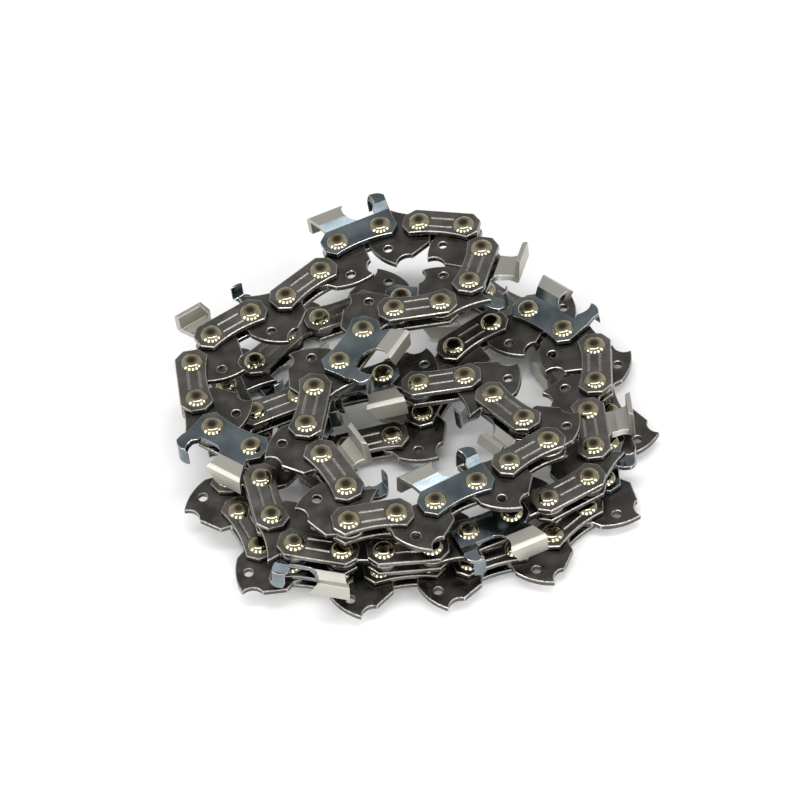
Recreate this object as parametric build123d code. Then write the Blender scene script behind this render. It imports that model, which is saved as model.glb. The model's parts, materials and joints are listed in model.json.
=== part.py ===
"""Low-profile saw chain, a closed loop of 44 drive links lying coiled in a heap.

Millimetres, +Z up. The origin is on the floor, in the middle of the heap's box.
A link's own frame has +X the way the chain runs, +Y towards the cutting edges and +Z across the plates.
"""
import math
import os

import numpy as np
from build123d import *

# Chain pitch: rivet spacing in a side link and in a drive link
SIDE_PITCH = 10.0
DRIVE_PITCH = 8.62

# Plates and the room between them
DRIVE_THICKNESS = 1.3
PLATE_THICKNESS = 1.1
PLATE_GAP = 0.3
GROOVE_DEPTH = 0.15
GROOVE_WIDTH = 0.7
GROOVE_SPACING = 2.4

# Rivets
HUB_RADIUS = 2.5
HUB_CLEARANCE = 0.1
SHANK_RADIUS = 1.8
HEAD_RADIUS = 2.4
HEAD_HEIGHT = 0.75
HEAD_FLAT_RADIUS = 0.9
HEAD_SHOULDER_RADIUS = 1.97
HEAD_SHOULDER_HEIGHT = 0.51

# Side plate outline
PLATE_END = 3.5
PLATE_HALF_WIDTH = 3.6
PLATE_CORNER = 2.0
PLATE_WAIST = 0.9

# Drive link outline
EYE_RADIUS = 3.5
SADDLE_HEIGHT = 1.6
TANG_DEPTH = 10.9
TANG_TIP_X = -0.4
SHOULDER_REACH = 2.4
SHOULDER_DEPTH = 4.9
HEEL_DEPTH = 4.6
TANG_BELLY = 0.6
HOOK_REACH = 3.0
HOOK_DEPTH = 8.4
HOOK_HOLLOW = 0.8
OIL_HOLE_RADIUS = 0.95
OIL_HOLE_DEPTH = 6.2
OIL_HOLE_SETBACK = 2.4
BUMPER_HEIGHT = 6.8
BUMPER_MIDDLE = 4.5

# Cutter outline
CUTTER_HEIGHT = 9.4
TOP_PLATE_WIDTH = 4.8
TOP_PLATE_BACK = 3.7
TOP_PLATE_LENGTH = 9.8
TOOTH_LEAN = 3.8
JOG_RUN = 2.0
JOG_RISE = 0.75
CORNER_BEVEL = 0.7
GAUGE_DROP = 0.9
GAUGE_LENGTH = 3.8
GAUGE_OVERHANG = 4.0
GAUGE_CROWN = 0.2
GAUGE_NOSE_DROP = 1.2
GULLET_RADIUS = 3.3
GULLET_LEAD = 1.2
FILING_ANGLE = 25

# Heap: one row for each side link, from the first strap of the uppermost turn.
# Plan position of its middle in mean pitches, the way it points in degrees, its height in layers.
LAYER_GAP = 0.2
ROUTE = [
    (1.85, 1.5, 15, 0.7),
    (3.6, 1.4, -50, 1.0),
    (4.5, -0.2, -95, 1.0),
    (4.2, -2.1, -90, 1.0),
    (3.6, -3.8, -155, 1.0),
    (1.6, -4.6, -160, 1.05),
    (-0.3, -5.2, 175, 1.2),
    (-2.3, -4.8, 155, 1.45),
    (-3.2, -3.5, 102, 1.75),
    (-3.9, -1.6, 143, 2.0),
    (-4.6, 0.2, 88, 2.1),
    (-3.6, 1.7, 30, 2.2),
    (-2.0, 2.6, 35, 2.35),
    (-0.55, 3.85, 21, 2.55),
    (1.45, 3.8, -14, 2.75),
    (2.15, 2.2, -112, 2.95),
    (0.6, 1.1, 178, 3.0),
    (-1.0, 0.1, -125, 3.0),
    (-2.0, -1.6, -100, 3.0),
    (-1.7, -3.4, -70, 2.75),
    (-0.9, -4.6, -5, 2.4),
    (0.9, -4.2, 25, 2.2),
    (2.7, -3.2, 30, 2.1),
    (2.4, -1.7, 125, 1.9),
    (1.0, -0.5, 180, 1.65),
    (-0.9, 0.0, -175, 1.35),
    (-2.8, -0.3, -165, 1.1),
    (-4.0, -1.7, -100, 0.9),
    (-3.7, -3.65, -68, 0.55),
    (-2.3, -4.9, -18, 0.3),
    (-0.35, -5.1, 0, 0.15),
    (1.6, -5.0, 12, 0.1),
    (3.4, -4.2, 40, 0.0),
    (4.4, -2.6, 76, 0.0),
    (4.55, -0.65, 97, 0.0),
    (3.9, 1.2, 118, 0.0),
    (2.65, 2.6, 143, 0.0),
    (0.8, 3.1, 175, 0.0),
    (-1.1, 2.95, 195, 0.0),
    (-2.8, 2.1, 220, 0.0),
    (-3.8, 0.6, -80, 0.0),
    (-2.8, -0.95, -25, 0.0),
    (-0.9, -1.3, 0, 0.05),
    (0.85, -0.3, 50, 0.3),
]
KINDS = ("tie_strap", "left_cutter", "tie_strap", "right_cutter")
RELAX_SWEEPS = 12000
HEIGHT_SMOOTHINGS = 4
NORMAL_SMOOTHINGS = 60

# Worked out from the sizes above
PITCH = (SIDE_PITCH + DRIVE_PITCH) / 2
PLATE_INNER = DRIVE_THICKNESS / 2 + PLATE_GAP
PLATE_OUTER = PLATE_INNER + PLATE_THICKNESS
HALF_HEIGHT = PLATE_OUTER + max(HEAD_HEIGHT, JOG_RISE)
LAYER = 2 * HALF_HEIGHT + LAYER_GAP
FRONT_RIVET = SIDE_PITCH / 2
FRONT_EYE = DRIVE_PITCH / 2


def both_ends(shape, x):
    """The shape at both rivets of a link, which lie x either side of its middle."""
    return Pos(-x, 0) * shape + Pos(x, 0) * shape


def plate_outline():
    """Octagonal side plate, straight towards the cutting edges and waisted towards the tangs."""
    end = FRONT_RIVET + PLATE_END
    half = PLATE_HALF_WIDTH
    corner = PLATE_CORNER
    top = Polyline((end, half - corner), (end - corner, half), (corner - end, half), (-end, half - corner))
    back = Polyline((-end, half - corner), (-end, corner - half), (corner - end, -half))
    waist = ThreePointArc((corner - end, -half), (0, PLATE_WAIST - half), (end - corner, -half))
    front = Polyline((end - corner, -half), (end, corner - half), (end, half - corner))
    return make_face([top, back, waist, front])


def rivet_holes(depth):
    """Two bores for the rivets' shanks."""
    return both_ends(extrude(Circle(SHANK_RADIUS), depth, both=True), FRONT_RIVET)


def tie_strap():
    """Flat side plate with two lengthwise grooves in its outer face."""
    plate = Pos(0, 0, PLATE_INNER) * extrude(plate_outline(), PLATE_THICKNESS)
    slot = SlotOverall(2 * (FRONT_RIVET - HEAD_RADIUS), GROOVE_WIDTH)
    for side in (-1, 1):
        place = Pos(0, side * GROOVE_SPACING / 2, PLATE_OUTER)
        plate -= place * extrude(slot, -GROOVE_DEPTH)
    return plate - rivet_holes(2 * PLATE_OUTER)


def cutter_section():
    """The bent sheet across the chain: side plate, outward jog, corner bevel and top plate."""
    low = -PLATE_HALF_WIDTH
    jog = PLATE_HALF_WIDTH
    far = PLATE_OUTER + JOG_RISE
    near = far - PLATE_THICKNESS
    lag = PLATE_THICKNESS * math.tan(math.atan2(JOG_RISE, JOG_RUN) / 2)
    top = CUTTER_HEIGHT
    under = top - PLATE_THICKNESS
    edge = far - TOP_PLATE_WIDTH
    points = [
        (low, PLATE_OUTER),
        (jog, PLATE_OUTER),
        (jog + JOG_RUN, far),
        (top - CORNER_BEVEL, far),
        (top, far - CORNER_BEVEL),
        (top, edge),
        (under, edge),
        (under, near),
        (jog + JOG_RUN + lag, near),
        (jog + lag, PLATE_INNER),
        (low, PLATE_INNER),
    ]
    return Plane.YZ * make_face(Polyline(*points, close=True))


def cutter_outline():
    """The cutter from its side: base plate, depth gauge and tooth, with the filed gullet between them."""
    back = -FRONT_RIVET - TOP_PLATE_BACK
    tip = back + TOP_PLATE_LENGTH
    high = CUTTER_HEIGHT
    tooth = Polygon((back + TOOTH_LEAN, 0), (back, high), (tip, high), (tip, 0), align=None)
    toe = FRONT_RIVET + GAUGE_OVERHANG
    heel = toe - GAUGE_LENGTH
    crest = high - GAUGE_DROP
    crown = ((heel + toe) / 2, crest + GAUGE_CROWN)
    tip_of_nose = (toe, crest - GAUGE_NOSE_DROP)
    flank = PLATE_HALF_WIDTH - PLATE_CORNER
    sole = FRONT_RIVET + PLATE_END
    slope = Polyline((sole, flank), (heel, flank), (heel, crest))
    brow = ThreePointArc((heel, crest), crown, tip_of_nose)
    nose = Line(tip_of_nose, (sole, flank))
    return plate_outline() + tooth + make_face([slope, brow, nose])


def left_cutter():
    """Cutter whose side plate is on the +Z side."""
    length = 2 * (FRONT_RIVET + PLATE_END + GAUGE_OVERHANG)
    sheet = extrude(cutter_section(), length / 2, both=True)
    cutter = sheet & extrude(cutter_outline(), 2 * CUTTER_HEIGHT, both=True)
    tip = TOP_PLATE_LENGTH - FRONT_RIVET - TOP_PLATE_BACK
    gullet = Pos(tip + GULLET_LEAD, PLATE_HALF_WIDTH + GULLET_RADIUS, PLATE_OUTER)
    file = extrude(Circle(GULLET_RADIUS), 3 * CUTTER_HEIGHT, both=True)
    cutter -= gullet * Rot(0, FILING_ANGLE, 0) * file
    return cutter - rivet_holes(2 * PLATE_OUTER)


def drive_link(bumper):
    """Centre plate with two eyes, a hooked tang and, ahead of a cutter, a bumper ramp."""
    x = FRONT_EYE
    reach = x + SHOULDER_REACH
    saddle = Polyline((x, 0), (x, SADDLE_HEIGHT), (-x, SADDLE_HEIGHT), (-x, 0))
    tip = (TANG_TIP_X, -TANG_DEPTH)
    trail = Polyline((-x, 0), (-reach, 0), (-reach, -HEEL_DEPTH))
    low = ((TANG_TIP_X - reach) / 2 - TANG_BELLY, -(HEEL_DEPTH + TANG_DEPTH) / 2 - TANG_BELLY)
    belly = ThreePointArc((-reach, -HEEL_DEPTH), low, tip)
    deep = ((TANG_TIP_X + HOOK_REACH) / 2 - HOOK_HOLLOW, HOOK_HOLLOW - (TANG_DEPTH + HOOK_DEPTH) / 2)
    hook = ThreePointArc(tip, deep, (HOOK_REACH, -HOOK_DEPTH))
    lead = Polyline((HOOK_REACH, -HOOK_DEPTH), (reach, -SHOULDER_DEPTH), (reach, 0), (x, 0))
    outline = make_face([saddle, trail, belly, hook, lead]) + both_ends(Circle(EYE_RADIUS), x)
    if bumper:
        ramp = ThreePointArc((x, EYE_RADIUS), (0, BUMPER_MIDDLE), (-x, BUMPER_HEIGHT))
        drop = Polyline((-x, BUMPER_HEIGHT), (-x, 0), (x, 0), (x, EYE_RADIUS))
        outline += make_face([ramp, drop])
    outline -= both_ends(Circle(HUB_RADIUS + HUB_CLEARANCE), x)
    outline -= Pos(-OIL_HOLE_SETBACK, -OIL_HOLE_DEPTH) * Circle(OIL_HOLE_RADIUS)
    return extrude(outline, DRIVE_THICKNESS / 2, both=True)


def rivet():
    """Stepped rivet: wide hub, a shank through each side plate and a domed head at both ends."""
    top = PLATE_OUTER + HEAD_HEIGHT
    dome = ThreePointArc(
        (HEAD_RADIUS, PLATE_OUTER),
        (HEAD_SHOULDER_RADIUS, PLATE_OUTER + HEAD_SHOULDER_HEIGHT),
        (HEAD_FLAT_RADIUS, top),
    )
    step = Polyline((0, 0), (HUB_RADIUS, 0), (HUB_RADIUS, PLATE_INNER), (SHANK_RADIUS, PLATE_INNER))
    neck = Polyline((SHANK_RADIUS, PLATE_INNER), (SHANK_RADIUS, PLATE_OUTER), (HEAD_RADIUS, PLATE_OUTER))
    close = Polyline((HEAD_FLAT_RADIUS, top), (0, top), (0, 0))
    half = revolve(Plane.XZ * make_face([step, neck, dome, close]), Axis.Z)
    return half + mirror(half, Plane.XY)


def heading(degrees):
    """Unit vector in plan."""
    angle = math.radians(degrees)
    return np.array([math.cos(angle), math.sin(angle)])


def rivet_heights():
    """Height of every rivet, smoothed along the loop so that no joint is bent across its plates."""
    levels = np.repeat([row[3] for row in ROUTE], 2)
    for _ in range(HEIGHT_SMOOTHINGS):
        levels = (np.roll(levels, 1) + 2 * levels + np.roll(levels, -1)) / 4
    return HALF_HEIGHT + LAYER * levels


def rivet_places():
    """Rivet centres of the closed loop, moved in plan until every spacing is exact."""
    plan = []
    for x, y, way, _ in ROUTE:
        middle = PITCH * np.array([x, y])
        half = SIDE_PITCH / 2 * heading(way)
        plan += [middle - half, middle + half]
    plan = np.array(plan)
    heights = rivet_heights()
    rise = np.roll(heights, -1) - heights
    spacing = np.tile([SIDE_PITCH, DRIVE_PITCH], len(ROUTE))
    wanted = np.sqrt(spacing**2 - rise**2)
    count = len(plan)
    for _ in range(RELAX_SWEEPS):
        for first in (0, 1):
            start = np.arange(first, count, 2)
            end = (start + 1) % count
            chord = plan[end] - plan[start]
            length = np.linalg.norm(chord, axis=1)
            shift = chord * ((length - wanted[start]) / (2 * length))[:, None]
            plan[start] += shift
            plan[end] -= shift
    return np.column_stack([plan, heights])


def unit(vectors):
    """Each row scaled to length one."""
    return vectors / np.linalg.norm(vectors, axis=1)[:, None]


def link_normals(chords):
    """Plate normals: square to each chord and as near as they can be to the neighbours' normals."""
    normals = np.tile([0.0, 0.0, 1.0], (len(chords), 1))
    for _ in range(NORMAL_SMOOTHINGS):
        mean = np.roll(normals, 1, axis=0) + np.roll(normals, -1, axis=0) + normals
        along = np.sum(mean * chords, axis=1)[:, None]
        normals = unit(mean - along * chords)
    return normals


def link_frames():
    """Frame of every link, side and drive links in turn, along the loop."""
    rivets = rivet_places()
    ends = np.roll(rivets, -1, axis=0)
    chords = unit(ends - rivets)
    middles = (rivets + ends) / 2
    frames = []
    for middle, chord, normal in zip(middles, chords, link_normals(chords)):
        frames.append(Plane(tuple(middle), x_dir=tuple(chord), z_dir=tuple(normal)))
    return frames


def link_solids(kind, side, drive, shapes, bumper):
    """One link: two side plates, two rivets and the drive link ahead of them."""
    below = mirror(shapes["tie_strap"], Plane.XY)
    above = shapes["tie_strap"]
    if kind == "left_cutter":
        above = shapes["left_cutter"]
    if kind == "right_cutter":
        below = mirror(shapes["left_cutter"], Plane.XY)
    solids = [side.location * above, side.location * below]
    for x in (-FRONT_RIVET, FRONT_RIVET):
        solids.append(side.location * Pos(x, 0, 0) * shapes["rivet"])
    name = "bumper_drive_link" if bumper else "drive_link"
    solids.append(drive.location * shapes[name])
    return solids


def to_origin(links):
    """The move that sets the heap on the floor, with the middle of its box over the origin."""
    boxes = [solid.bounding_box() for solids in links.values() for solid in solids]
    low_x = min(box.min.X for box in boxes)
    high_x = max(box.max.X for box in boxes)
    low_y = min(box.min.Y for box in boxes)
    high_y = max(box.max.Y for box in boxes)
    floor = min(box.min.Z for box in boxes)
    return Pos(-(low_x + high_x) / 2, -(low_y + high_y) / 2, -floor)


def build():
    """All links by name, each a list of its solids, before the heap is set on its origin."""
    shapes = {
        "tie_strap": tie_strap(),
        "left_cutter": left_cutter(),
        "rivet": rivet(),
        "drive_link": drive_link(False),
        "bumper_drive_link": drive_link(True),
    }
    frames = link_frames()
    links = {}
    for number in range(len(ROUTE)):
        kind = KINDS[number % len(KINDS)]
        side = frames[2 * number]
        drive = frames[2 * number + 1]
        name = f"{kind}_link_{number + 1:02d}"
        links[name] = link_solids(kind, side, drive, shapes, kind != "tie_strap")
    return links


if __name__ == "__main__":
    os.makedirs("parts", exist_ok=True)
    chain = build()
    move = to_origin(chain)
    for name, solids in chain.items():
        export_step(Compound([move * solid for solid in solids]), f"parts/{name}.step")
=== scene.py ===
"""Looks of a coiled saw chain: its links, rivets and cutters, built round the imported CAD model."""
import json
import math

import bmesh
import bpy
import numpy as np
from mathutils import Matrix, Vector

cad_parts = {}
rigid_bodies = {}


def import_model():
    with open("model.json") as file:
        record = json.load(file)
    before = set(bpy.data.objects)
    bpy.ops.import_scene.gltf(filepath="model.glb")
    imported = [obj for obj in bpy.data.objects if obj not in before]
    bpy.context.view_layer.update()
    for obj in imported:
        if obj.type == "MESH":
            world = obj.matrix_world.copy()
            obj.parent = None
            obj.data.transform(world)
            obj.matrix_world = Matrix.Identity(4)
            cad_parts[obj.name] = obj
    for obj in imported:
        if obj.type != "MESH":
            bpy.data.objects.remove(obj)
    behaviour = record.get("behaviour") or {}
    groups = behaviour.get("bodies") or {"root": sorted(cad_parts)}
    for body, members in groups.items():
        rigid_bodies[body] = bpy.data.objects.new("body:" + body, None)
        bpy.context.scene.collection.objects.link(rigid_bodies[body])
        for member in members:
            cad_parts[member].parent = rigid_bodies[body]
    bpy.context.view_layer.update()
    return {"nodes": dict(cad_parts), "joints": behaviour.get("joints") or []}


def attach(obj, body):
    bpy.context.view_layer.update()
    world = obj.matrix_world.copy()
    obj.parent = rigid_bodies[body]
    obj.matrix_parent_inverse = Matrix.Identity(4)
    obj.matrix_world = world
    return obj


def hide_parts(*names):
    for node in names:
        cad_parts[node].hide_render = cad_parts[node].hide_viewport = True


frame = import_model()

bl_info = {
    "name": "Saw Chain Heap",
    "version": (1, 0, 0),
    "blender": (4, 5, 0),
    "location": "View3D > Sidebar > Saw Chain",
    "description": "Builds the plates, rivets, drive links and cutters of a coiled saw chain",
    "category": "Object",
}

MM = 0.001

# Heap: one row for each side link, from the first strap of the uppermost turn.
# Plan position of its middle in mean pitches, the way it points in degrees, its height in layers.
ROUTE = [
    (1.85, 1.5, 15, 0.7),
    (3.6, 1.4, -50, 1.0),
    (4.5, -0.2, -95, 1.0),
    (4.2, -2.1, -90, 1.0),
    (3.6, -3.8, -155, 1.0),
    (1.6, -4.6, -160, 1.05),
    (-0.3, -5.2, 175, 1.2),
    (-2.3, -4.8, 155, 1.45),
    (-3.2, -3.5, 102, 1.75),
    (-3.9, -1.6, 143, 2.0),
    (-4.6, 0.2, 88, 2.1),
    (-3.6, 1.7, 30, 2.2),
    (-2.0, 2.6, 35, 2.35),
    (-0.55, 3.85, 21, 2.55),
    (1.45, 3.8, -14, 2.75),
    (2.15, 2.2, -112, 2.95),
    (0.6, 1.1, 178, 3.0),
    (-1.0, 0.1, -125, 3.0),
    (-2.0, -1.6, -100, 3.0),
    (-1.7, -3.4, -70, 2.75),
    (-0.9, -4.6, -5, 2.4),
    (0.9, -4.2, 25, 2.2),
    (2.7, -3.2, 30, 2.1),
    (2.4, -1.7, 125, 1.9),
    (1.0, -0.5, 180, 1.65),
    (-0.9, 0.0, -175, 1.35),
    (-2.8, -0.3, -165, 1.1),
    (-4.0, -1.7, -100, 0.9),
    (-3.7, -3.65, -68, 0.55),
    (-2.3, -4.9, -18, 0.3),
    (-0.35, -5.1, 0, 0.15),
    (1.6, -5.0, 12, 0.1),
    (3.4, -4.2, 40, 0.0),
    (4.4, -2.6, 76, 0.0),
    (4.55, -0.65, 97, 0.0),
    (3.9, 1.2, 118, 0.0),
    (2.65, 2.6, 143, 0.0),
    (0.8, 3.1, 175, 0.0),
    (-1.1, 2.95, 195, 0.0),
    (-2.8, 2.1, 220, 0.0),
    (-3.8, 0.6, -80, 0.0),
    (-2.8, -0.95, -25, 0.0),
    (-0.9, -1.3, 0, 0.05),
    (0.85, -0.3, 50, 0.3),
]
RELAX_SWEEPS = 12000
HEIGHT_SMOOTHINGS = 4
NORMAL_SMOOTHINGS = 60
PLACE_TOLERANCE = 0.02 * MM

# What one link holds, as inputs of its node tree
LINK_PIECES = ("Upper plate", "Lower plate", "Rivet", "Drive link")

# How finely round stretches are drawn
ARC_STEPS = 14
HOLE_STEPS = 40
GULLET_STEPS = 56
RIVET_STEPS = 40
DOME_STEPS = 7
SHORTEST_EDGE = 0.08 * MM
FLAT_ANGLE = math.radians(1)
SMOOTH_ANGLE = math.radians(12)
DOME_ANGLE = math.radians(35)
BEVEL_ANGLE = math.radians(25)
BEVEL_SEGMENTS = 2

# Finishes: widths of patterns in mm, roughness, share of bare steel and of painted highlight on edges and
# in grooves, share of stain, and strength of bumps
PATCH_WIDTH = 4.0
GRAIN_WIDTH = 0.5
STAIN_WIDTH = 1.2
CLOUD_WIDTH = 6.0
LINE_LENGTH = 6.0
LINE_WIDTH = 0.3
OILED_ROUGHNESS = 0.22
DRY_ROUGHNESS = 0.38
RIVET_ROUGHNESS = 0.1
CHROME_ROUGHNESS = 0.12
TOOTH_ROUGHNESS = 0.38
LINE_ROUGHNESS = 0.16
PAPER_ROUGHNESS = 0.9
STRAP_RUBBING_AND_HIGHLIGHT = (0.35, 0.9)
GROOVE_HIGHLIGHT = 0.6
CUTTER_RUBBING_AND_HIGHLIGHT = 0.85
STAIN_SHARE = 0.35
GRAIN_BUMP = 0.25
LINE_BUMP = 0.3
BUMP_DEPTH = 0.05 * MM

# Sockets of a Mix node that mixes colours; their names are shared with its other kinds of value
FACTOR = 0
COLOUR_A = 6
COLOUR_B = 7
MIXED = 2

# Camera, as the photograph was taken: an 800 pixel square frame
IMAGE_PIXELS = 800
PIXELS_PER_MM = 4.66
CAMERA_ELEVATION = math.radians(48.06)
CAMERA_ROLL = math.radians(6.88)
CAMERA_DISTANCE = 0.93
CAMERA_NEAR = 0.01
SENSOR_MM = 36.0
ORIGIN_PIXEL = (418, 432)

# Stage, in metres and watts
FLOOR_HALF = 3.0
OVERHEAD_PLACE = (0.0, 0.0, 1.0)
OVERHEAD_SIZE = (0.9, 0.16)
OVERHEAD_POWER = 3.3
FRONT_DISTANCE = 0.8
FRONT_ELEVATION = math.radians(25)
FRONT_BEARINGS = (-72, -36, 0, 36, 72)
FRONT_SIZE = (0.18, 0.5)
FRONT_POWER = 1.6


def linear(code):
    """Linear colour, with alpha, of an sRGB hex value."""
    channels = [int(code[place:place + 2], 16) / 255 for place in (1, 3, 5)]
    light = [c / 12.92 if c <= 0.04045 else ((c + 0.055) / 1.055) ** 2.4 for c in channels]
    return (*light, 1.0)


def length(name, millimetres, description):
    """A length property with its default in millimetres."""
    return bpy.props.FloatProperty(
        name=name,
        description=description,
        default=millimetres * MM,
        min=0.0,
        precision=5,
        subtype="DISTANCE",
        unit="LENGTH",
    )


def colour(name, code, description):
    """A colour property with its default as an sRGB hex value."""
    return bpy.props.FloatVectorProperty(
        name=name,
        description=description,
        default=linear(code),
        size=4,
        min=0.0,
        max=1.0,
        subtype="COLOR",
    )


class ChainSizes(bpy.types.PropertyGroup):
    """Sizes of the chain's pieces."""

    side_pitch: length("Side pitch", 10.0, "Rivet spacing in a side link")
    drive_pitch: length("Drive pitch", 8.62, "Rivet spacing in a drive link")
    drive_thickness: length("Drive thickness", 1.3, "Thickness of a drive link")
    plate_thickness: length("Plate thickness", 1.1, "Thickness of a side plate or cutter")
    plate_gap: length("Plate gap", 0.3, "Room between a drive link and a side plate")
    plate_end: length("Plate end", 3.5, "Reach of a side plate past its rivet")
    plate_half_width: length("Plate half width", 3.6, "Half the width of a side plate")
    plate_corner: length("Plate corner", 2.0, "Cut corner of a side plate")
    plate_waist: length("Plate waist", 0.9, "Depth of the curved waist on the tang side")
    groove_depth: length("Groove depth", 0.15, "Depth of the lengthwise grooves")
    groove_width: length("Groove width", 0.7, "Width of the lengthwise grooves")
    groove_spacing: length("Groove spacing", 2.4, "Distance between the two grooves")
    hub_radius: length("Hub radius", 2.5, "Rivet's wide hub, on which the drive link turns")
    hub_clearance: length("Hub clearance", 0.1, "Room round the hub in a drive link")
    shank_radius: length("Shank radius", 1.8, "Rivet's shank through the side plates")
    head_radius: length("Head radius", 2.4, "Rivet's domed head")
    head_height: length("Head height", 0.75, "Height of the domed head over its plate")
    head_flat: length("Head flat", 0.9, "Radius of the flat on top of a head")
    head_shoulder_radius: length("Head shoulder radius", 1.97, "Radius of a head where its dome turns down")
    head_shoulder_height: length("Head shoulder height", 0.51, "Height of a head where its dome turns down")
    eye_radius: length("Eye radius", 3.5, "Round end of a drive link")
    saddle_height: length("Saddle height", 1.6, "Height of a drive link between its rivets")
    tang_depth: length("Tang depth", 10.9, "Depth of a tang's tip under the rivets")
    tang_lag: length("Tang lag", 0.4, "Distance of the tang's tip behind the middle")
    shoulder_reach: length("Shoulder reach", 2.4, "Reach of a tang's shoulders past the rivets")
    shoulder_depth: length("Shoulder depth", 4.9, "Depth of the leading shoulder")
    heel_depth: length("Heel depth", 4.6, "Depth of the trailing shoulder")
    tang_belly: length("Tang belly", 0.6, "Bulge of the trailing edge")
    hook_reach: length("Hook reach", 3.0, "Distance of the hook's front end ahead of the middle")
    hook_depth: length("Hook depth", 8.4, "Depth of the hook's front end")
    hook_hollow: length("Hook hollow", 0.8, "Hollow of the hook ahead of the tip")
    oil_hole_radius: length("Oil hole radius", 0.95, "Oil hole in a tang")
    oil_hole_depth: length("Oil hole depth", 6.2, "Depth of the oil hole under the rivets")
    oil_hole_setback: length("Oil hole setback", 2.4, "Distance of the oil hole behind the middle")
    bumper_height: length("Bumper height", 6.8, "Ramp ahead of a depth gauge")
    bumper_middle: length("Bumper middle", 4.5, "Height of the ramp halfway along")
    cutter_height: length("Cutter height", 9.4, "Top plate over the rivets")
    top_plate_width: length("Top plate width", 4.8, "Width of a cutter's top plate")
    top_plate_back: length("Top plate back", 3.7, "Reach of the top plate behind the rear rivet")
    top_plate_length: length("Top plate length", 9.8, "Length of a cutter's top plate")
    tooth_lean: length("Tooth lean", 3.8, "How far the tooth's back leans over its foot")
    jog_run: length("Jog run", 2.0, "Height over which the side plate jogs outwards")
    jog_rise: length("Jog rise", 0.75, "How far the side plate jogs outwards")
    corner_bevel: length("Corner bevel", 0.7, "Bevel between side plate and top plate")
    gauge_drop: length("Gauge drop", 0.9, "Depth gauge under the cutting edge")
    gauge_length: length("Gauge length", 3.8, "Length of the depth gauge")
    gauge_overhang: length("Gauge overhang", 4.0, "Reach of the depth gauge past the front rivet")
    gauge_crown: length("Gauge crown", 0.2, "Rise of the depth gauge's rounded top")
    gauge_nose_drop: length("Gauge nose drop", 1.2, "Drop of the depth gauge's top to its nose")
    gullet_radius: length("Gullet radius", 3.3, "Round file that cuts the gullet")
    gullet_lead: length("Gullet lead", 1.2, "Distance of the file's middle ahead of the tip")
    filing_angle: bpy.props.FloatProperty(
        name="Filing angle",
        description="Slant of the file across the chain",
        default=math.radians(25),
        subtype="ANGLE",
        unit="ROTATION",
    )
    edge_radius: length("Edge radius", 0.2, "Rounded edge that pressing and tumbling leave")
    cutter_edge_radius: length("Cutter edge radius", 0.12, "Rounded edge of a cutter under its chrome")
    layer_gap: length("Layer gap", 0.2, "Room between two layers of the heap")


class ChainFinishes(bpy.types.PropertyGroup):
    """Colours of the chain's finishes."""

    strap_dark: colour("Strap, dark", "#615e5a", "Blackened tie straps, oily places")
    strap_light: colour("Strap, light", "#7c7974", "Blackened tie straps, dry places")
    drive_dark: colour("Drive link, dark", "#4b4845", "Blackened drive links, oily places")
    drive_light: colour("Drive link, light", "#66635f", "Blackened drive links, dry places")
    # Light colour of bevels and grooves: worn steel on the bevels, with a painted highlight there too; in
    # the grooves it is only a painted highlight
    rubbed_edge_and_highlight: colour("Worn edge", "#c9c5bf", "Steel rubbed bright along edges")
    # The rivet head's pale rim is a painted highlight and its dark middle a painted dark reflection, whose
    # colour also tints the stains
    rivet_rim_highlight: colour("Rivet rim", "#c2ba9c", "Peened rivet head, outer part")
    rivet_stain_and_dark_reflection: colour("Rivet middle", "#4a4235", "Peened rivet head, stained middle")
    cutter_base: colour("Cutter base", "#626b70", "Bluish chrome of a cutter's lower plate")
    cutter_sheen: colour("Cutter sheen", "#869196", "Bluish chrome, paler clouds")
    cutter_tooth: colour("Cutter tooth", "#b9b7ae", "Satin chrome of a cutter's tooth")
    floor: colour("Floor", "#ffffff", "Plain floor")
    room: colour("Room", "#c0c0c0", "Even grey room round the stage")


def chain_sizes():
    """Sizes set in the scene."""
    return bpy.context.scene.saw_chain_sizes


def chain_finishes():
    """Colours set in the scene."""
    return bpy.context.scene.saw_chain_finishes


def plate_inner(sizes):
    """Height of a side plate's inner face over the chain's middle plane."""
    return sizes.drive_thickness / 2 + sizes.plate_gap


def plate_outer(sizes):
    """Height of a side plate's outer face."""
    return plate_inner(sizes) + sizes.plate_thickness


def add_node(tree, kind, inputs=None, **settings):
    """A node of that kind with its settings, its input values and its links."""
    node = tree.nodes.new(kind)
    for name, value in settings.items():
        setattr(node, name, value)
    for name, value in (inputs or {}).items():
        socket = node.inputs[name]
        if isinstance(value, bpy.types.NodeSocket):
            tree.links.new(value, socket)
        else:
            socket.default_value = value
    return node


# The heap's route

def heading(degrees):
    """Unit vector in plan."""
    angle = math.radians(degrees)
    return np.array([math.cos(angle), math.sin(angle)])


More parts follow.
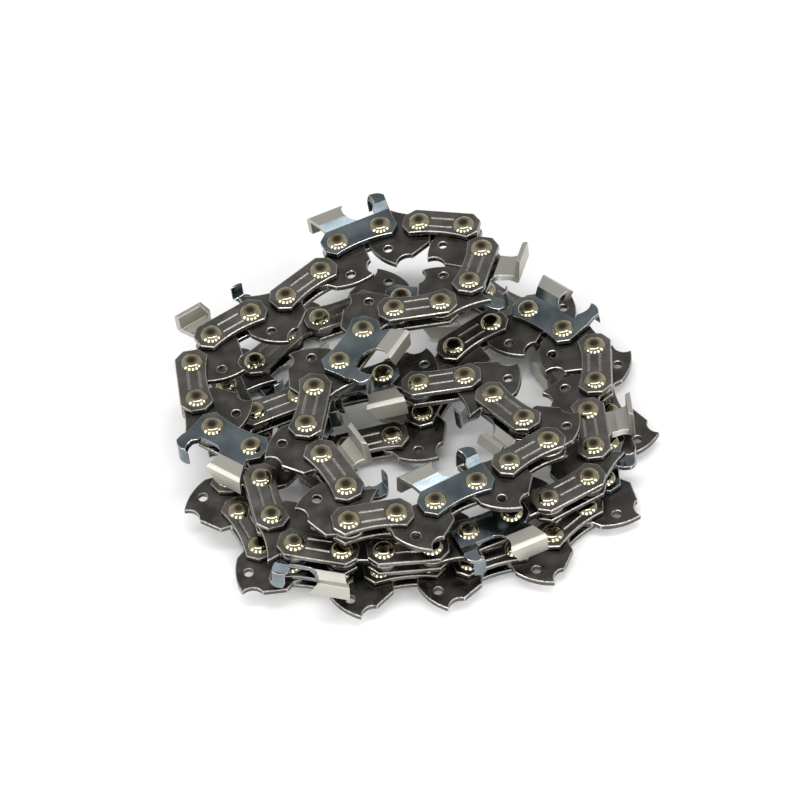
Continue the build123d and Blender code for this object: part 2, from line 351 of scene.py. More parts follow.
def rivet_places(sizes):
    """Rivet centres of the closed loop, moved in plan until every spacing is exact."""
    half_height = plate_outer(sizes) + max(sizes.head_height, sizes.jog_rise)
    levels = np.repeat([row[3] for row in ROUTE], 2)
    for _ in range(HEIGHT_SMOOTHINGS):
        levels = (np.roll(levels, 1) + 2 * levels + np.roll(levels, -1)) / 4
    heights = half_height + (2 * half_height + sizes.layer_gap) * levels
    pitch = (sizes.side_pitch + sizes.drive_pitch) / 2
    plan = []
    for x, y, way, _ in ROUTE:
        middle = pitch * np.array([x, y])
        half = sizes.side_pitch / 2 * heading(way)
        plan += [middle - half, middle + half]
    plan = np.array(plan)
    rise = np.roll(heights, -1) - heights
    spacing = np.tile([sizes.side_pitch, sizes.drive_pitch], len(ROUTE))
    wanted = np.sqrt(spacing**2 - rise**2)
    for _ in range(RELAX_SWEEPS):
        for first in (0, 1):
            start = np.arange(first, len(plan), 2)
            end = (start + 1) % len(plan)
            chord = plan[end] - plan[start]
            span = np.linalg.norm(chord, axis=1)
            shift = chord * ((span - wanted[start]) / (2 * span))[:, None]
            plan[start] += shift
            plan[end] -= shift
    return np.column_stack([plan, heights])


def unit(vectors):
    """Each row scaled to length one."""
    return vectors / np.linalg.norm(vectors, axis=1)[:, None]


def link_normals(chords):
    """Plate normals: square to each chord and as near as they can be to the neighbours' normals."""
    normals = np.tile([0.0, 0.0, 1.0], (len(chords), 1))
    for _ in range(NORMAL_SMOOTHINGS):
        mean = np.roll(normals, 1, axis=0) + np.roll(normals, -1, axis=0) + normals
        along = np.sum(mean * chords, axis=1)[:, None]
        normals = unit(mean - along * chords)
    return normals


def heap_shift(rivets):
    """Move from the route's own origin to the frame's, read from the frame's pivots."""
    rear = rivets[0::2]
    shifts = []
    for joint in frame["joints"]:
        links = {int(joint[end][-2:]) for end in ("parent", "child")}
        # A pivot is the rear rivet of the later link, and link 1 follows the last one
        later = 1 if links == {1, len(ROUTE)} else max(links)
        shifts.append(np.array(joint["pos_m"]) - rear[later - 1])
    shifts = np.array(shifts)
    if np.ptp(shifts, axis=0).max() > PLACE_TOLERANCE:
        raise RuntimeError("the route misses the frame's pivots: repeat the part's route here")
    return shifts.mean(axis=0)


def link_frames(sizes):
    """Place and turn of every link, side and drive links in turn, along the loop."""
    rivets = rivet_places(sizes)
    rivets = rivets + heap_shift(rivets)
    ends = np.roll(rivets, -1, axis=0)
    chords = unit(ends - rivets)
    frames = []
    for middle, along, normal in zip((rivets + ends) / 2, chords, link_normals(chords)):
        across = np.cross(normal, along)
        turn = Matrix((along, across, normal)).transposed().to_quaternion()
        frames.append((Vector(middle), turn))
    return frames


# Outlines, as lists of points in a link's own frame

def arc_through(start, middle, end, steps=ARC_STEPS):
    """Points on the circle through three points, both ends included."""
    (ax, ay), (bx, by), (cx, cy) = start, middle, end
    turn = 2 * (ax * (by - cy) + bx * (cy - ay) + cx * (ay - by))
    a, b, c = ax * ax + ay * ay, bx * bx + by * by, cx * cx + cy * cy
    x = (a * (by - cy) + b * (cy - ay) + c * (ay - by)) / turn
    y = (a * (cx - bx) + b * (ax - cx) + c * (bx - ax)) / turn
    radius = math.hypot(ax - x, ay - y)
    first = math.atan2(ay - y, ax - x)
    sweep = (math.atan2(cy - y, cx - x) - first) % (2 * math.pi)
    part = (math.atan2(by - y, bx - x) - first) % (2 * math.pi)
    if part > sweep:
        sweep -= 2 * math.pi
    angles = [first + sweep * step / steps for step in range(steps + 1)]
    return [(x + radius * math.cos(angle), y + radius * math.sin(angle)) for angle in angles]


def circle(x, y, radius, steps=HOLE_STEPS):
    """Points of a full circle."""
    angles = [2 * math.pi * step / steps for step in range(steps)]
    return [(x + radius * math.cos(angle), y + radius * math.sin(angle)) for angle in angles]


def plate_outline(sizes):
    """Octagonal side plate, straight towards the cutting edges and waisted towards the tangs."""
    end = sizes.side_pitch / 2 + sizes.plate_end
    half = sizes.plate_half_width
    corner = sizes.plate_corner
    upper = [(end, corner - half), (end, half - corner), (end - corner, half)]
    lower = [(corner - end, half), (-end, half - corner), (-end, corner - half)]
    waist = arc_through((corner - end, -half), (0, sizes.plate_waist - half), (end - corner, -half))
    return upper + lower + waist


def drive_outline(sizes, bumper):
    """Centre plate: two round eyes, a hooked tang below and, ahead of a cutter, a ramp above."""
    x = sizes.drive_pitch / 2
    reach = x + sizes.shoulder_reach
    eye = sizes.eye_radius
    side = math.sqrt(eye**2 - sizes.shoulder_reach**2)
    dip = math.sqrt(eye**2 - sizes.saddle_height**2)
    tip = (-sizes.tang_lag, -sizes.tang_depth)
    deep = (
        (sizes.hook_reach - sizes.tang_lag) / 2 - sizes.hook_hollow,
        sizes.hook_hollow - (sizes.tang_depth + sizes.hook_depth) / 2,
    )
    hook = arc_through(tip, deep, (sizes.hook_reach, -sizes.hook_depth))
    low = (
        -(sizes.tang_lag + reach) / 2 - sizes.tang_belly,
        -(sizes.heel_depth + sizes.tang_depth) / 2 - sizes.tang_belly,
    )
    belly = arc_through((-reach, -sizes.heel_depth), low, tip)
    if bumper:
        front = arc_through((reach, -side), (x + eye, 0), (x, eye))
        ramp = arc_through((x, eye), (0, sizes.bumper_middle), (-x, sizes.bumper_height))
        back = arc_through((-x, eye), (-x - eye, 0), (-reach, -side))
        top = front + ramp[1:] + back
    else:
        front = arc_through((reach, -side), (x + eye, 0), (x - dip, sizes.saddle_height))
        back = arc_through((dip - x, sizes.saddle_height), (-x - eye, 0), (-reach, -side))
        top = front + back
    return hook + [(reach, -sizes.shoulder_depth)] + top + belly[:-1]


def cutter_outline(sizes):
    """Cutter from its side as three overlapping outlines: base plate, tooth and depth gauge."""
    rivet_x = sizes.side_pitch / 2
    back = -rivet_x - sizes.top_plate_back
    tip = back + sizes.top_plate_length
    top = sizes.cutter_height
    tooth = [(back + sizes.tooth_lean, 0), (tip, 0), (tip, top), (back, top)]
    toe = rivet_x + sizes.gauge_overhang
    heel = toe - sizes.gauge_length
    crest = top - sizes.gauge_drop
    flank = sizes.plate_half_width - sizes.plate_corner
    crown = ((heel + toe) / 2, crest + sizes.gauge_crown)
    brow = arc_through((toe, crest - sizes.gauge_nose_drop), crown, (heel, crest))
    gauge = [(heel, flank), (rivet_x + sizes.plate_end, flank)] + brow
    return plate_outline(sizes), tooth, gauge


def cutter_section(sizes):
    """The bent sheet across the chain, as (y, z): side plate, outward jog, corner bevel, top plate."""
    low = -2 * sizes.plate_half_width
    jog = sizes.plate_half_width
    inner = plate_inner(sizes)
    outer = plate_outer(sizes)
    far = outer + sizes.jog_rise
    near = far - sizes.plate_thickness
    lag = sizes.plate_thickness * math.tan(math.atan2(sizes.jog_rise, sizes.jog_run) / 2)
    top = sizes.cutter_height
    under = top - sizes.plate_thickness
    edge = far - sizes.top_plate_width
    return [
        (low, outer),
        (jog, outer),
        (jog + sizes.jog_run, far),
        (top - sizes.corner_bevel, far),
        (top, far - sizes.corner_bevel),
        (top, edge),
        (under, edge),
        (under, near),
        (jog + sizes.jog_run + lag, near),
        (jog + lag, inner),
        (low, inner),
    ]


# Pattern pieces: one of each, made once and set along the route

def settled(piece):
    """Plain mesh of an object with its modifiers applied; the object goes."""
    bpy.context.scene.collection.objects.link(piece)
    bpy.context.view_layer.update()
    evaluated = piece.evaluated_get(bpy.context.evaluated_depsgraph_get())
    mesh = bpy.data.meshes.new_from_object(evaluated)
    bpy.data.objects.remove(piece)
    return mesh


def slab(name, loops, low, high):
    """Flat piece between two heights, with an outline and holes as lists of points."""
    curve = bpy.data.curves.new(name, "CURVE")
    curve.dimensions = "2D"
    curve.fill_mode = "BOTH"
    curve.extrude = (high - low) / 2
    for loop in loops:
        spline = curve.splines.new("POLY")
        spline.points.add(len(loop) - 1)
        for point, (x, y) in zip(spline.points, loop):
            point.co = (x, y, 0, 1)
        spline.use_cyclic_u = True
    mesh = settled(bpy.data.objects.new(name, curve))
    bpy.data.curves.remove(curve)
    mesh.transform(Matrix.Translation((0, 0, (low + high) / 2)))
    return cleaned(mesh)


def cleaned(mesh):
    """Mesh with its shortest edges closed up and its flat faces whole."""
    shape = bmesh.new()
    shape.from_mesh(mesh)
    bmesh.ops.remove_doubles(shape, verts=shape.verts, dist=SHORTEST_EDGE)
    bmesh.ops.dissolve_limit(shape, angle_limit=FLAT_ANGLE, verts=shape.verts, edges=shape.edges)
    bmesh.ops.recalc_face_normals(shape, faces=shape.faces)
    shape.to_mesh(mesh)
    shape.free()
    return mesh


def combined(mesh, other, operation):
    """Mesh joined with, cut by or kept within another mesh."""
    piece = bpy.data.objects.new(mesh.name, mesh)
    tool = bpy.data.objects.new(other.name, other)
    boolean = piece.modifiers.new("Boolean", "BOOLEAN")
    boolean.operation = operation
    boolean.solver = "EXACT"
    boolean.object = tool
    result = settled(piece)
    bpy.data.objects.remove(tool)
    return result


def edged(mesh, radius, smooth_angle=SMOOTH_ANGLE):
    """Mesh with its sharp edges rounded, and the new faces marked in an attribute named edge."""
    for name in ("body", "rounded"):
        mesh.materials.append(bpy.data.materials.get(name) or bpy.data.materials.new(name))
    mesh.polygons.foreach_set("material_index", np.zeros(len(mesh.polygons), np.int32))
    piece = bpy.data.objects.new(mesh.name, mesh)
    bevel = piece.modifiers.new("Bevel", "BEVEL")
    bevel.width = radius
    bevel.segments = BEVEL_SEGMENTS
    bevel.limit_method = "ANGLE"
    bevel.angle_limit = BEVEL_ANGLE
    bevel.use_clamp_overlap = False
    bevel.material = 1
    result = settled(piece)
    indices = np.zeros(len(result.polygons), np.int32)
    result.polygons.foreach_get("material_index", indices)
    mark = result.attributes.new("edge", "FLOAT", "FACE")
    mark.data.foreach_set("value", indices.astype(np.float32))
    result.polygons.foreach_set("material_index", np.zeros(len(indices), np.int32))
    result.materials.clear()
    result.shade_smooth()
    result.set_sharp_from_angle(angle=smooth_angle)
    return result


def tie_strap(sizes):
    """Flat side plate on the upper side, with two lengthwise grooves in its outer face."""
    rivet_x = sizes.side_pitch / 2
    outer = plate_outer(sizes)
    holes = [circle(x, 0, sizes.shank_radius) for x in (-rivet_x, rivet_x)]
    blank = slab("tie_strap", [plate_outline(sizes), *holes], plate_inner(sizes), outer)
    strap = edged(blank, sizes.edge_radius)
    half = sizes.groove_width / 2
    radius = (half**2 + sizes.groove_depth**2) / (2 * sizes.groove_depth)
    run = rivet_x - sizes.head_radius
    for side in (-1, 1):
        bar = bmesh.new()
        bmesh.ops.create_cone(
            bar,
            cap_ends=True,
            segments=HOLE_STEPS,
            radius1=radius,
            radius2=radius,
            depth=2 * run,
        )
        lift = outer + radius - sizes.groove_depth
        place = Matrix.Translation((0, side * sizes.groove_spacing / 2, lift))
        bar.transform(place @ Matrix.Rotation(math.pi / 2, 4, "Y"))
        groove = bpy.data.meshes.new("groove")
        bar.to_mesh(groove)
        bar.free()
        # The grooves are marked like bevels, so that they are lightened as a painted highlight
        mark = groove.attributes.new("edge", "FLOAT", "FACE")
        mark.data.foreach_set("value", np.full(len(groove.polygons), GROOVE_HIGHLIGHT, np.float32))
        strap = combined(strap, groove, "DIFFERENCE")
    strap.shade_smooth()
    strap.set_sharp_from_angle(angle=SMOOTH_ANGLE)
    return strap


def drive_link(sizes, bumper):
    """Centre plate with two eyes and an oil hole."""
    x = sizes.drive_pitch / 2
    eyes = [circle(place, 0, sizes.hub_radius + sizes.hub_clearance) for place in (-x, x)]
    oil = circle(-sizes.oil_hole_setback, -sizes.oil_hole_depth, sizes.oil_hole_radius)
    half = sizes.drive_thickness / 2
    name = "bumper_drive_link" if bumper else "drive_link"
    return edged(slab(name, [drive_outline(sizes, bumper), *eyes, oil], -half, half), sizes.edge_radius)


def cutter(sizes):
    """Cutter with its side plate on the upper side: bent sheet, depth gauge, gullet and tooth."""
    rivet_x = sizes.side_pitch / 2
    span = rivet_x + sizes.plate_end + sizes.gauge_overhang
    sheet = slab("cutter", [cutter_section(sizes)], -span, span)
    # The section's two directions become the link's y and z, and its run the link's x
    sheet.transform(Matrix(((0, 0, 1, 0), (1, 0, 0, 0), (0, 1, 0, 0), (0, 0, 0, 1))))
    tall = 2 * sizes.cutter_height
    base, tooth, gauge = [slab("outline", [loop], -tall, tall) for loop in cutter_outline(sizes)]
    profile = combined(combined(base, tooth, "UNION"), gauge, "UNION")
    shape = combined(sheet, profile, "INTERSECT")
    file = bmesh.new()
    bmesh.ops.create_cone(
        file,
        cap_ends=True,
        segments=GULLET_STEPS,
        radius1=sizes.gullet_radius,
        radius2=sizes.gullet_radius,
        depth=4 * tall,
    )
    tip = sizes.top_plate_length - rivet_x - sizes.top_plate_back
    height = sizes.plate_half_width + sizes.gullet_radius
    place = Matrix.Translation((tip + sizes.gullet_lead, height, plate_outer(sizes)))
    file.transform(place @ Matrix.Rotation(sizes.filing_angle, 4, "Y"))
    gullet = bpy.data.meshes.new("gullet")
    file.to_mesh(gullet)
    file.free()
    shape = combined(shape, gullet, "DIFFERENCE")
    for x in (-rivet_x, rivet_x):
        bore = slab("bore", [circle(x, 0, sizes.shank_radius)], 0, tall)
        shape = combined(shape, bore, "DIFFERENCE")
    shape = edged(cleaned(shape), sizes.cutter_edge_radius)
    middles = [polygon.center for polygon in shape.polygons]
    bend = sizes.plate_half_width + sizes.jog_run / 2
    front = tip + sizes.gullet_lead
    mark = shape.attributes.new("tooth", "FLOAT", "FACE")
    mark.data.foreach_set("value", [float(place.y > bend and place.x < front) for place in middles])
    own = shape.attributes.new("own_place", "FLOAT_VECTOR", "POINT")
    own.data.foreach_set("vector", [c for vertex in shape.vertices for c in vertex.co])
    return shape


def rivet(sizes):
    """Rivet turned from its profile: a domed head at both ends, shanks and the wide hub."""
    outer = plate_outer(sizes)
    inner = plate_inner(sizes)
    top = outer + sizes.head_height
    rim = (sizes.head_radius, outer)
    brow = (sizes.head_shoulder_radius, outer + sizes.head_shoulder_height)
    dome = arc_through((sizes.head_flat, top), brow, rim, DOME_STEPS)
    half = [(0, top), (sizes.head_flat / 2, top), *dome]
    half += [(sizes.shank_radius, outer), (sizes.shank_radius, inner), (sizes.hub_radius, inner)]
    profile = half + [(radius, -height) for radius, height in reversed(half)]
    shape = bmesh.new()
    line = [shape.verts.new((radius, 0, height)) for radius, height in profile]
    edges = [shape.edges.new(pair) for pair in zip(line, line[1:])]
    bmesh.ops.spin(
        shape,
        geom=line + edges,
        axis=(0, 0, 1),
        cent=(0, 0, 0),
        angle=2 * math.pi,
        steps=RIVET_STEPS,
    )
    bmesh.ops.remove_doubles(shape, verts=shape.verts, dist=SHORTEST_EDGE)
    bmesh.ops.recalc_face_normals(shape, faces=shape.faces)
    mesh = bpy.data.meshes.new("rivet")
    shape.to_mesh(mesh)
    shape.free()
    mark = mesh.attributes.new("radial", "FLOAT", "POINT")
    mark.data.foreach_set("value", [math.hypot(v.co.x, v.co.y) / sizes.head_radius for v in mesh.vertices])
    mesh.shade_smooth()
    mesh.set_sharp_from_angle(angle=DOME_ANGLE)
    return mesh


def flipped(mesh):
    """The same pattern piece on the lower side of the chain."""
    other = mesh.copy()
    other.transform(Matrix.Diagonal((1, 1, -1, 1)))
    other.flip_normals()
    return other


# Finishes

def pattern_scale(millimetres):
    """Texture scale at which a pattern's features are that wide."""
    return 1 / (millimetres * MM)


def metal(name):
    """New metal material: its tree, its shader and Object coordinates."""
    material = bpy.data.materials.new(name)
    material.use_nodes = True
    tree = material.node_tree
    shader = tree.nodes["Principled BSDF"]
    shader.inputs["Metallic"].default_value = 1.0
    place = add_node(tree, "ShaderNodeTexCoord").outputs["Object"]
    return material, tree, shader, place


def blackened_steel(name, dark, light, rubbed_and_highlight):
    """Heat-blackened carbon steel, tumbled and oiled: dark grey with oily patches, bright edges that are
    partly worn steel and partly a painted highlight, and grooves lightened as a painted highlight.
    """
    material, tree, shader, place = metal(name)
    coarse = {"Vector": place, "Scale": pattern_scale(PATCH_WIDTH), "Detail": 3.0}
    patches = add_node(tree, "ShaderNodeTexNoise", coarse)
    # Tumbling grain is about 0.1 mm; it is drawn five times coarser to show at this distance
    fine = {"Vector": place, "Scale": pattern_scale(GRAIN_WIDTH), "Detail": 2.0}
    grain = add_node(tree, "ShaderNodeTexNoise", fine)
    spread = add_node(
        tree,
        "ShaderNodeMapRange",
        {"Value": patches.outputs["Fac"], "From Min": 0.3, "From Max": 0.7},
    )
    shades = {FACTOR: spread.outputs["Result"], COLOUR_A: dark, COLOUR_B: light}
    skin = add_node(tree, "ShaderNodeMix", shades, data_type="RGBA")
    rubbed = add_node(
        tree,
        "ShaderNodeMapRange",
        {
            "Value": grain.outputs["Fac"],
            "From Min": 0.3,
            "From Max": 0.6,
            "To Min": STRAP_RUBBING_AND_HIGHLIGHT[0],
            "To Max": STRAP_RUBBING_AND_HIGHLIGHT[1],
        },
    )
    # Bevels and grooves are lightened towards the light edge colour: partly worn steel, partly a painted
    # highlight; the grooves are painted highlight only
    edge = add_node(tree, "ShaderNodeAttribute", attribute_name="edge")
    rubbing_and_highlight_mask = add_node(
        tree,
        "ShaderNodeMath",
        {0: edge.outputs["Fac"], 1: rubbed.outputs["Result"]},
        operation="MULTIPLY",
    )
    shades = {FACTOR: rubbing_and_highlight_mask.outputs[0], COLOUR_A: skin.outputs[MIXED], COLOUR_B: rubbed_and_highlight}
    tint = add_node(tree, "ShaderNodeMix", shades, data_type="RGBA")
    tree.links.new(tint.outputs[MIXED], shader.inputs["Base Color"])
    gloss = add_node(
        tree,
        "ShaderNodeMapRange",
        {
            "Value": patches.outputs["Fac"],
            "From Min": 0.3,
            "From Max": 0.7,
            "To Min": OILED_ROUGHNESS,
            "To Max": DRY_ROUGHNESS,
        },
    )
    tree.links.new(gloss.outputs["Result"], shader.inputs["Roughness"])
    bump = add_node(
        tree,
        "ShaderNodeBump",
        {"Height": grain.outputs["Fac"], "Strength": GRAIN_BUMP, "Distance": BUMP_DEPTH},
    )
    tree.links.new(bump.outputs["Normal"], shader.inputs["Normal"])
    return material


def peened_rivet_steel(rim, middle):
    """Carbon steel rivets, spun over by the peening tool: glossy domes with a dark middle painted as a dark
    reflection, a pale rim painted as a highlight, and blots of stain in the middle's colour.
    """
    material, tree, shader, place = metal("peened_rivet_steel")
    shader.inputs["Roughness"].default_value = RIVET_ROUGHNESS
    blots = {"Vector": place, "Scale": pattern_scale(STAIN_WIDTH), "Detail": 2.0}
    stain = add_node(tree, "ShaderNodeTexNoise", blots)
    radial = add_node(tree, "ShaderNodeAttribute", attribute_name="radial")
    # Painted reflection: dark in the middle of the head, pale towards the rim
    ring = add_node(
        tree,
        "ShaderNodeMapRange",
        {"Value": radial.outputs["Fac"], "From Min": 0.2, "From Max": 0.75},
        interpolation_type="SMOOTHSTEP",
    )
    shades = {FACTOR: ring.outputs["Result"], COLOUR_A: middle, COLOUR_B: rim}
    shade = add_node(tree, "ShaderNodeMix", shades, data_type="RGBA")
    blot = add_node(
        tree,
        "ShaderNodeMapRange",
        {"Value": stain.outputs["Fac"], "From Min": 0.35, "From Max": 0.7, "To Max": STAIN_SHARE},
    )
    shades = {FACTOR: blot.outputs["Result"], COLOUR_A: shade.outputs[MIXED], COLOUR_B: middle}
    tint = add_node(tree, "ShaderNodeMix", shades, data_type="RGBA")
    tree.links.new(tint.outputs[MIXED], shader.inputs["Base Color"])
    return material


def chromed_cutter_steel(base, sheen, tooth, rubbed_and_highlight):
    """Alloy steel cutter with hard chrome: bluish and glossy below, ground to a satin above the jog, with
    bright edges that are partly worn steel and partly a painted highlight.
    """
    material, tree, shader, place = metal("hard_chromed_steel")
    clouds = {"Vector": place, "Scale": pattern_scale(CLOUD_WIDTH), "Detail": 2.0}
    cloud = add_node(tree, "ShaderNodeTexNoise", clouds)
    cover = add_node(
        tree,
        "ShaderNodeMapRange",
        {"Value": cloud.outputs["Fac"], "From Min": 0.35, "From Max": 0.7},
    )
    # Grinding lines are about 0.05 mm wide; they are drawn six times coarser to show at this distance
    own = add_node(tree, "ShaderNodeAttribute", attribute_name="own_place")
    stretch = (pattern_scale(LINE_LENGTH), pattern_scale(LINE_WIDTH), pattern_scale(LINE_WIDTH))
    along = add_node(tree, "ShaderNodeMapping", {"Vector": own.outputs["Vector"], "Scale": stretch})
    lines = add_node(tree, "ShaderNodeTexNoise", {"Vector": along.outputs["Vector"], "Scale": 1.0})
    ground = add_node(tree, "ShaderNodeAttribute", attribute_name="tooth")
    edge = add_node(tree, "ShaderNodeAttribute", attribute_name="edge")
    shades = {FACTOR: cover.outputs["Result"], COLOUR_A: base, COLOUR_B: sheen}
    chrome = add_node(tree, "ShaderNodeMix", shades, data_type="RGBA")
    shades = {FACTOR: ground.outputs["Fac"], COLOUR_A: chrome.outputs[MIXED], COLOUR_B: tooth}
    skin = add_node(tree, "ShaderNodeMix", shades, data_type="RGBA")
    # Bevels are lightened towards the light edge colour: partly worn steel, partly a painted highlight
    rubbing_and_highlight_mask = add_node(tree, "ShaderNodeMath", {0: edge.outputs["Fac"], 1: CUTTER_RUBBING_AND_HIGHLIGHT}, operation="MULTIPLY")
    shades = {FACTOR: rubbing_and_highlight_mask.outputs[0], COLOUR_A: skin.outputs[MIXED], COLOUR_B: rubbed_and_highlight}
    tint = add_node(tree, "ShaderNodeMix", shades, data_type="RGBA")
    tree.links.new(tint.outputs[MIXED], shader.inputs["Base Color"])
    levels = {"Value": ground.outputs["Fac"], "To Min": CHROME_ROUGHNESS, "To Max": TOOTH_ROUGHNESS}
    gloss = add_node(tree, "ShaderNodeMapRange", levels)
    change = add_node(
        tree,
        "ShaderNodeMath",
        {0: lines.outputs["Fac"], 1: LINE_ROUGHNESS, 2: gloss.outputs["Result"]},
        operation="MULTIPLY_ADD",
    )
    tree.links.new(change.outputs[0], shader.inputs["Roughness"])
    depth = add_node(tree, "ShaderNodeMath", {0: ground.outputs["Fac"], 1: LINE_BUMP}, operation="MULTIPLY")
    bump = add_node(
        tree,
        "ShaderNodeBump",
        {"Height": lines.outputs["Fac"], "Strength": depth.outputs[0], "Distance": BUMP_DEPTH},
    )
    tree.links.new(bump.outputs["Normal"], shader.inputs["Normal"])
    return material


# Links along the route

def link_tree():
    """Node tree that sets one link's plates, rivets and drive link at the two points of its carrier."""
    tree = bpy.data.node_groups.new("chain_link", "GeometryNodeTree")
    sockets = tree.interface
    sockets.new_socket("Geometry", in_out="INPUT", socket_type="NodeSocketGeometry")
    for name in LINK_PIECES:
        sockets.new_socket(name, in_out="INPUT", socket_type="NodeSocketObject")
        sockets.new_socket(f"{name} finish", in_out="INPUT", socket_type="NodeSocketMaterial")
    sockets.new_socket("Side pitch", in_out="INPUT", socket_type="NodeSocketFloat")
    sockets.new_socket("Geometry", in_out="OUTPUT", socket_type="NodeSocketGeometry")
    given = add_node(tree, "NodeGroupInput").outputs
    turn = add_node(tree, "GeometryNodeInputNamedAttribute", {"Name": "turn"}, data_type="QUATERNION")
    drive = add_node(tree, "GeometryNodeInputNamedAttribute", {"Name": "drive"}, data_type="BOOLEAN")
    side = add_node(tree, "FunctionNodeBooleanMath", {0: drive.outputs["Attribute"]}, operation="NOT")
    half = add_node(tree, "ShaderNodeMath", {0: given["Side pitch"], 1: 0.5}, operation="MULTIPLY")
    back = add_node(tree, "ShaderNodeMath", {0: given["Side pitch"], 1: -0.5}, operation="MULTIPLY")
    whole = add_node(tree, "GeometryNodeJoinGeometry")
    shapes = {}
    for name in LINK_PIECES:
        shapes[name] = add_node(tree, "GeometryNodeObjectInfo", {"Object": given[name]}).outputs["Geometry"]
    pair = add_node(tree, "GeometryNodeJoinGeometry")
    for place in (back, half):
        offset = add_node(tree, "ShaderNodeCombineXYZ", {"X": place.outputs[0]})
        moved = add_node(
            tree,
            "GeometryNodeTransform",
            {"Geometry": shapes["Rivet"], "Translation": offset.outputs["Vector"]},
        )
        tree.links.new(moved.outputs["Geometry"], pair.inputs["Geometry"])
    shapes["Rivet"] = pair.outputs["Geometry"]
    for name, shape in shapes.items():
        chosen = drive.outputs["Attribute"] if name == "Drive link" else side.outputs[0]
        placed = add_node(
            tree,
            "GeometryNodeInstanceOnPoints",
            {
                "Points": given["Geometry"],
                "Selection": chosen,
                "Instance": shape,
                "Rotation": turn.outputs["Attribute"],
            },
        )
        real = add_node(tree, "GeometryNodeRealizeInstances", {"Geometry": placed.outputs["Instances"]})
        finished = add_node(
            tree,
            "GeometryNodeSetMaterial",
            {"Geometry": real.outputs["Geometry"], "Material": given[f"{name} finish"]},
        )
        tree.links.new(finished.outputs["Geometry"], whole.inputs["Geometry"])
    add_node(tree, "NodeGroupOutput", {"Geometry": whole.outputs["Geometry"]})
    return tree


def carrier(name, side, drive):
    """Two points: the middle of a side link and of the drive link ahead of it, with their turns."""
    mesh = bpy.data.meshes.new(name)
    mesh.from_pydata([side[0], drive[0]], [], [])
    turns = mesh.attributes.new("turn", "QUATERNION", "POINT")
    turns.data.foreach_set("value", [*side[1], *drive[1]])
    kinds = mesh.attributes.new("drive", "BOOLEAN", "POINT")
    kinds.data.foreach_set("value", [False, True])
    return bpy.data.objects.new(name, mesh)


def finishes():
    """The chain's four finishes, made once."""
    made = bpy.data.materials
    colours = chain_finishes()
    if "peened_rivet_steel" not in made:
        rubbed_and_highlight = colours.rubbed_edge_and_highlight
        blackened_steel("blackened_strap_steel", colours.strap_dark, colours.strap_light, rubbed_and_highlight)
        blackened_steel("blackened_drive_steel", colours.drive_dark, colours.drive_light, rubbed_and_highlight)
        peened_rivet_steel(colours.rivet_rim_highlight, colours.rivet_stain_and_dark_reflection)
        chromed_cutter_steel(colours.cutter_base, colours.cutter_sheen, colours.cutter_tooth, rubbed_and_highlight)
    return made


def plate_finish(plate):
    """Finish of a side plate: a cutter is the one with its tooth marked."""
    return finishes()["hard_chromed_steel" if "tooth" in plate.attributes else "blackened_strap_steel"]


def lay_links(kind, upper, lower, bumper):
    """Every link of one kind, each one piece that stands for its CAD node and rides on its body."""
    sizes = chain_sizes()
    made = finishes()
    tree = bpy.data.node_groups.get("chain_link") or link_tree()
    names = {item.name: item.identifier for item in tree.interface.items_tree if item.in_out == "INPUT"}
    patterns = {
        "Upper plate": upper,
        "Lower plate": lower,
        "Rivet": rivet(sizes),
        "Drive link": drive_link(sizes, bumper),
    }
    tools = {name: bpy.data.objects.new(name, mesh) for name, mesh in patterns.items()}
    frames = link_frames(sizes)
    for number in range(1, len(ROUTE) + 1):
        node = f"{kind}_link_{number:02d}"
        if node not in frame["nodes"]:
            continue
        build = carrier(f"{node}_points", frames[2 * number - 2], frames[2 * number - 1])
        modifier = build.modifiers.new("Link", "NODES")
        modifier.node_group = tree
        for name, tool in tools.items():
            modifier[names[name]] = tool
        modifier[names["Upper plate finish"]] = plate_finish(upper)
        modifier[names["Lower plate finish"]] = plate_finish(lower)
        modifier[names["Rivet finish"]] = made["peened_rivet_steel"]
        modifier[names["Drive link finish"]] = made["blackened_drive_steel"]
        modifier[names["Side pitch"]] = sizes.side_pitch
        piece = bpy.data.objects.new(f"{node}_look", settled(build))
        bpy.context.scene.collection.objects.link(piece)
        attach(piece, f"link_{number:02d}")
        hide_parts(node)
    for tool in tools.values():
        bpy.data.objects.remove(tool)


class SAWCHAIN_OT_tie_links(bpy.types.Operator):
    """Build the plain links: two tie straps, two rivets and a drive link each"""

    bl_idname = "saw_chain.tie_links"
    bl_label = "Tie Strap Links"

    def execute(self, context):
        strap = tie_strap(chain_sizes())
        lay_links("tie_strap", strap, flipped(strap), False)
        return {"FINISHED"}


class SAWCHAIN_OT_left_cutter_links(bpy.types.Operator):
    """Build the left cutter links: cutter above, tie strap below, bumper drive link ahead"""

    bl_idname = "saw_chain.left_cutter_links"
    bl_label = "Left Cutter Links"

    def execute(self, context):
        sizes = chain_sizes()
        lay_links("left_cutter", cutter(sizes), flipped(tie_strap(sizes)), True)
        return {"FINISHED"}


class SAWCHAIN_OT_right_cutter_links(bpy.types.Operator):
    """Build the right cutter links: tie strap above, cutter below, bumper drive link ahead"""

    bl_idname = "saw_chain.right_cutter_links"
    bl_label = "Right Cutter Links"

    def execute(self, context):
        sizes = chain_sizes()
        lay_links("right_cutter", tie_strap(sizes), flipped(cutter(sizes)), True)
        return {"FINISHED"}


# Stage

def floor_finish(tint):
    """Matt white paper sweep."""
    material = bpy.data.materials.new("white_paper_floor")
    material.use_nodes = True
    shader = material.node_tree.nodes["Principled BSDF"]
    shader.inputs["Base Color"].default_value = tint
    shader.inputs["Roughness"].default_value = PAPER_ROUGHNESS
    return material


